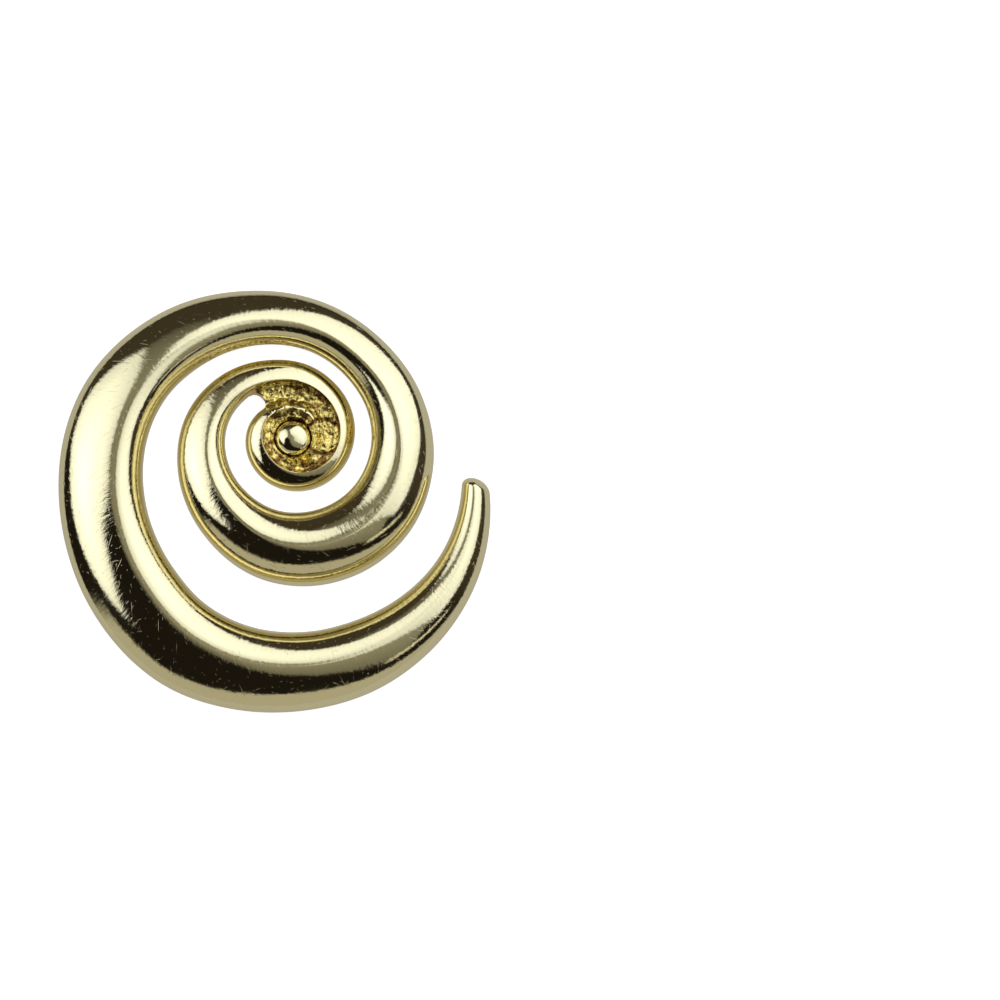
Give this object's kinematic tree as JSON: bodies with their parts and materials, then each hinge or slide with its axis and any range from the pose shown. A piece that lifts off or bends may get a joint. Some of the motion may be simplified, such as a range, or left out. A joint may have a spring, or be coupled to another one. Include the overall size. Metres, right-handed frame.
{
  "type": "spiral earring",
  "caption": "Spiral ear hanger of gold-plated cast brass: a rounded arm coils inwards from a blunt free end to a low bead, flat at the back.",
  "frame": {"origin": "on the flat back, under the centre of the bead", "axes": "+Z out of the domed front, along the bead's axis; +Y and +X in the flat back, with the blunt free end on the +X side, pointing along +Y"},
  "size_m": [0.0452, 0.0445, 0.0051],
  "materials": {
    "gold_plate": "pale gold plate, polished on the arm with fine scratches, left rough and darker on the web",
    "bead_gold_plate": "pale gold plate, polished"
  },
  "bodies": {
    "root": {"cast_spiral": "gold_plate", "centre_bead": "bead_gold_plate"}
  },
  "joints": []
}
